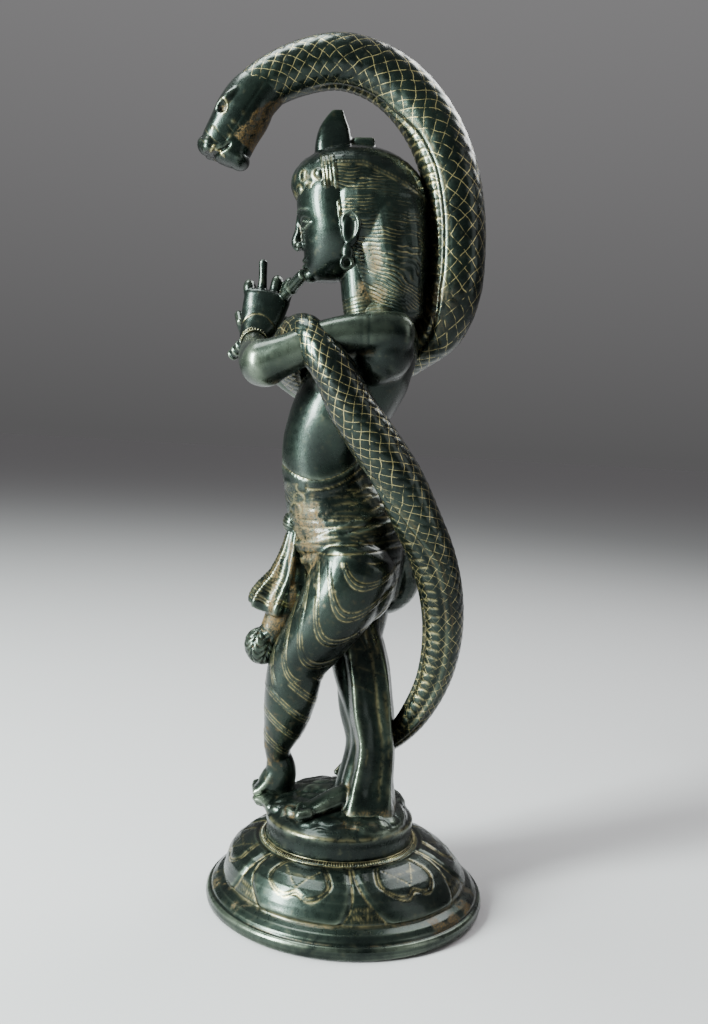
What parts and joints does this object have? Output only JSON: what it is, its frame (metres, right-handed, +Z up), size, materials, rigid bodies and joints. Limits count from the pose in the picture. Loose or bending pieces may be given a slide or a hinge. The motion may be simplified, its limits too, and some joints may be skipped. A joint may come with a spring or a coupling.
{
  "type": "krishna figure",
  "caption": "Cast bronze Krishna playing a flute, legs crossed, with a great serpent wound round him and arching over his head, on a bell-shaped lotus pedestal.",
  "frame": {"origin": "on the pedestal's underside, at the middle of the part's length and width", "axes": "+Z up, the figure faces -Y, and its own left side is +X"},
  "size_m": [0.1308, 0.1502, 0.3995],
  "materials": {
    "patinated_bronze": "polished green-black patina, with pale brass in the chased lines and ochre dust in the recesses"
  },
  "bodies": {
    "root": {"lotus_pedestal": "patinated_bronze", "krishna_figure": "patinated_bronze"}
  },
  "joints": []
}
